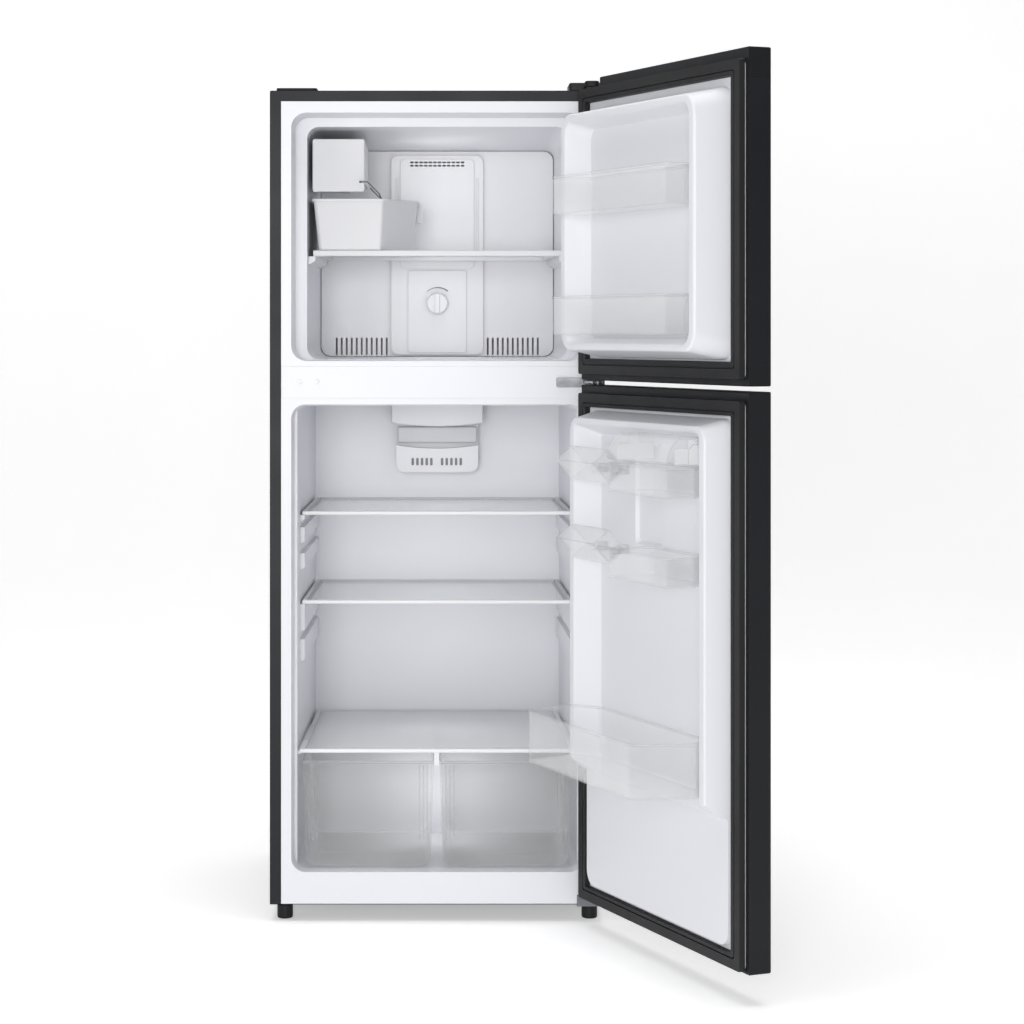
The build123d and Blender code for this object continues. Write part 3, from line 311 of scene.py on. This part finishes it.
# ---------------------------------------------------------------- pieces added to the frame
def mesh_piece(name, body, material, build):
    """A mesh drawn by build(bm) that rides on a body."""
    bm = bmesh.new()
    build(bm)
    bmesh.ops.recalc_face_normals(bm, faces=bm.faces)
    mesh = bpy.data.meshes.new(name)
    bm.to_mesh(mesh)
    bm.free()
    mesh.materials.append(material)
    piece = bpy.data.objects.new(name, mesh)
    bpy.context.scene.collection.objects.link(piece)
    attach(piece, body)
    return piece


DIAL_RADIUS = 30 * MM
DIAL_WIDTH = 3 * MM
DIAL_START = 0.25  # the arc's width where it begins, as a part of its full width
DIAL_HALF_SPAN = math.radians(41)
DIAL_RELIEF = 0.3 * MM
DIAL_STEPS = 24


def dial_scale(bm):
    """A raised arc on the cover above the knob; it widens from left to right."""
    low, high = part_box("freezer_knob")
    centre = (low + high) / 2
    back, front = high.y, high.y - DIAL_RELIEF
    rows = []
    for i in range(DIAL_STEPS + 1):
        t = i / DIAL_STEPS
        angle = DIAL_HALF_SPAN * (2 * t - 1)
        outer = DIAL_RADIUS + DIAL_WIDTH * (DIAL_START + (1 - DIAL_START) * t)
        corners = ((DIAL_RADIUS, back), (outer, back), (outer, front), (DIAL_RADIUS, front))
        row = []
        for radius, y in corners:
            x = centre.x + radius * math.sin(angle)
            z = centre.z + radius * math.cos(angle)
            row.append(bm.verts.new((x, y, z)))
        rows.append(row)
    for a, b in zip(rows, rows[1:]):
        for k in range(4):
            bm.faces.new((a[k], a[(k + 1) % 4], b[(k + 1) % 4], b[k]))
    bm.faces.new(rows[0])
    bm.faces.new(rows[-1])


mesh_piece("dial_scale", "cabinet", GREY_PLASTIC, dial_scale)

SLOTS_HALF_WIDTH = 54 * MM
SLOTS_LOW, SLOTS_HIGH = 10 * MM, 34 * MM  # above the cover's lower edge
SLOT_FLOOR = 41.5 * MM  # behind the cover's front
SHADE_DEPTH = 1 * MM


def duct_slot_painted_shade(bm):
    """A grey sheet at the floor of the slots in the fresh-food cover, painted shade standing in
    for the shadow inside the slots.
    """
    low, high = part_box("duct_cover")
    floor = low.y + SLOT_FLOOR
    corners = [
        bm.verts.new((x, y, z))
        for x in (-SLOTS_HALF_WIDTH, SLOTS_HALF_WIDTH)
        for y in (floor, floor + SHADE_DEPTH)
        for z in (low.z + SLOTS_LOW, low.z + SLOTS_HIGH)
    ]
    sides = ((0, 1, 3, 2), (4, 6, 7, 5), (0, 4, 5, 1), (2, 3, 7, 6), (0, 2, 6, 4), (1, 5, 7, 3))
    for side in sides:
        bm.faces.new([corners[k] for k in side])


# painted shade: a grey sheet placed in the slots where there is only shadow
mesh_piece("duct_slot_painted_shade", "cabinet", GREY_PLASTIC, duct_slot_painted_shade)

# ---------------------------------------------------------------- studio
FLOOR_NEAR, FLOOR_FAR, FLOOR_HALF = -9.0, 3.5, 9.0
SWEEP_RADIUS = 2.0
SWEEP_STEPS = 12
BACKDROP_TOP = 8.0
FLOOR_GLOW = 0.38


def pale_floor():
    s = Surface("studio_floor", (0.90, 0.90, 0.90), 0.7)
    s.mottle(0.01, scale=1.0)
    s.shader.inputs["Emission Color"].default_value = (1, 1, 1, 1)
    s.shader.inputs["Emission Strength"].default_value = FLOOR_GLOW
    return s.material


def studio_floor():
    """A pale floor that sweeps up into a backdrop."""
    profile = [(FLOOR_NEAR, 0.0), (FLOOR_FAR, 0.0)]
    for i in range(1, SWEEP_STEPS + 1):
        angle = math.pi / 2 * i / SWEEP_STEPS
        y = FLOOR_FAR + SWEEP_RADIUS * math.sin(angle)
        z = SWEEP_RADIUS - SWEEP_RADIUS * math.cos(angle)
        profile.append((y, z))
    profile.append((FLOOR_FAR + SWEEP_RADIUS, BACKDROP_TOP))
    bm = bmesh.new()
    rows = [[bm.verts.new((x, y, z)) for x in (-FLOOR_HALF, FLOOR_HALF)] for y, z in profile]
    for a, b in zip(rows, rows[1:]):
        bm.faces.new((a[0], a[1], b[1], b[0]))
    mesh = bpy.data.meshes.new("studio_floor")
    bm.to_mesh(mesh)
    bm.free()
    for face in mesh.polygons:
        face.use_smooth = True
    mesh.materials.append(pale_floor())
    floor = bpy.data.objects.new("studio_floor", mesh)
    bpy.context.scene.collection.objects.link(floor)
    return floor


def soft_light(name, place, target, size, power):
    """A round soft box that shines from a place towards a target."""
    data = bpy.data.lights.new(name, "AREA")
    data.shape = "DISK"
    data.size = size
    data.energy = power
    lamp = bpy.data.objects.new(name, data)
    lamp.location = place
    lamp.rotation_euler = (Vector(target) - Vector(place)).to_track_quat("-Z", "Y").to_euler()
    bpy.context.scene.collection.objects.link(lamp)
    return lamp


LAMP_DEPTH = 0.28  # behind the cabinet's front
LAMP_RADIUS = 0.1


def compartment_light(name, node, height, power):
    """A soft lamp inside a compartment; height is its place between floor and ceiling."""
    low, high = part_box(node)
    data = bpy.data.lights.new(name, "POINT")
    data.shadow_soft_size = LAMP_RADIUS
    data.energy = power
    lamp = bpy.data.objects.new(name, data)
    lamp.location = (0, LAMP_DEPTH, low.z + (high.z - low.z) * height)
    lamp.visible_camera = False
    lamp.visible_glossy = False
    bpy.context.scene.collection.objects.link(lamp)
    return lamp


stage = [studio_floor()]
MIDDLE = (0.1, 0.0, 0.8)
stage.append(soft_light("front_light", (-0.4, -5.6, 1.3), MIDDLE, size=1.8, power=118))
stage.append(soft_light("key_light", (-4.6, -3.6, 2.2), MIDDLE, size=3.2, power=38))
stage.append(soft_light("top_light", (0.0, -0.5, 4.6), (0, 0.2, 0), size=4.0, power=110))

# height and power of each compartment's lamps
COMPARTMENT_LIGHTS = {
    "freezer_liner": ((0.25, 0.30), (0.75, 0.30)),
    "fridge_liner": ((0.16, 0.52), (0.42, 0.24), (0.62, 0.22), (0.82, 0.22)),
}
for node, lamps in COMPARTMENT_LIGHTS.items():
    for k, (height, power) in enumerate(lamps):
        stage.append(compartment_light(f"{node}_light_{k + 1}", node, height, power))

world = bpy.data.worlds.new("studio")
world.use_nodes = True
background = world.node_tree.nodes["Background"]
background.inputs["Color"].default_value = (1, 1, 1, 1)
background.inputs["Strength"].default_value = 0.22
bpy.context.scene.world = world
bpy.context.scene.view_settings.view_transform = "Standard"

# the photo's camera, solved from the cabinet's front and the lines that run back
camera_data = bpy.data.cameras.new("camera")
camera_data.lens = 89.9
camera_data.sensor_width = 36.0
camera_data.shift_x = 0.0730
camera_data.shift_y = -0.1777
camera_data.clip_end = 60
camera = bpy.data.objects.new("camera", camera_data)
camera.location = (0, -4.581, 1.060)
camera.rotation_euler = (math.radians(90), 0, 0)
bpy.context.scene.collection.objects.link(camera)
bpy.context.scene.camera = camera

bpy.context.view_layer.update()
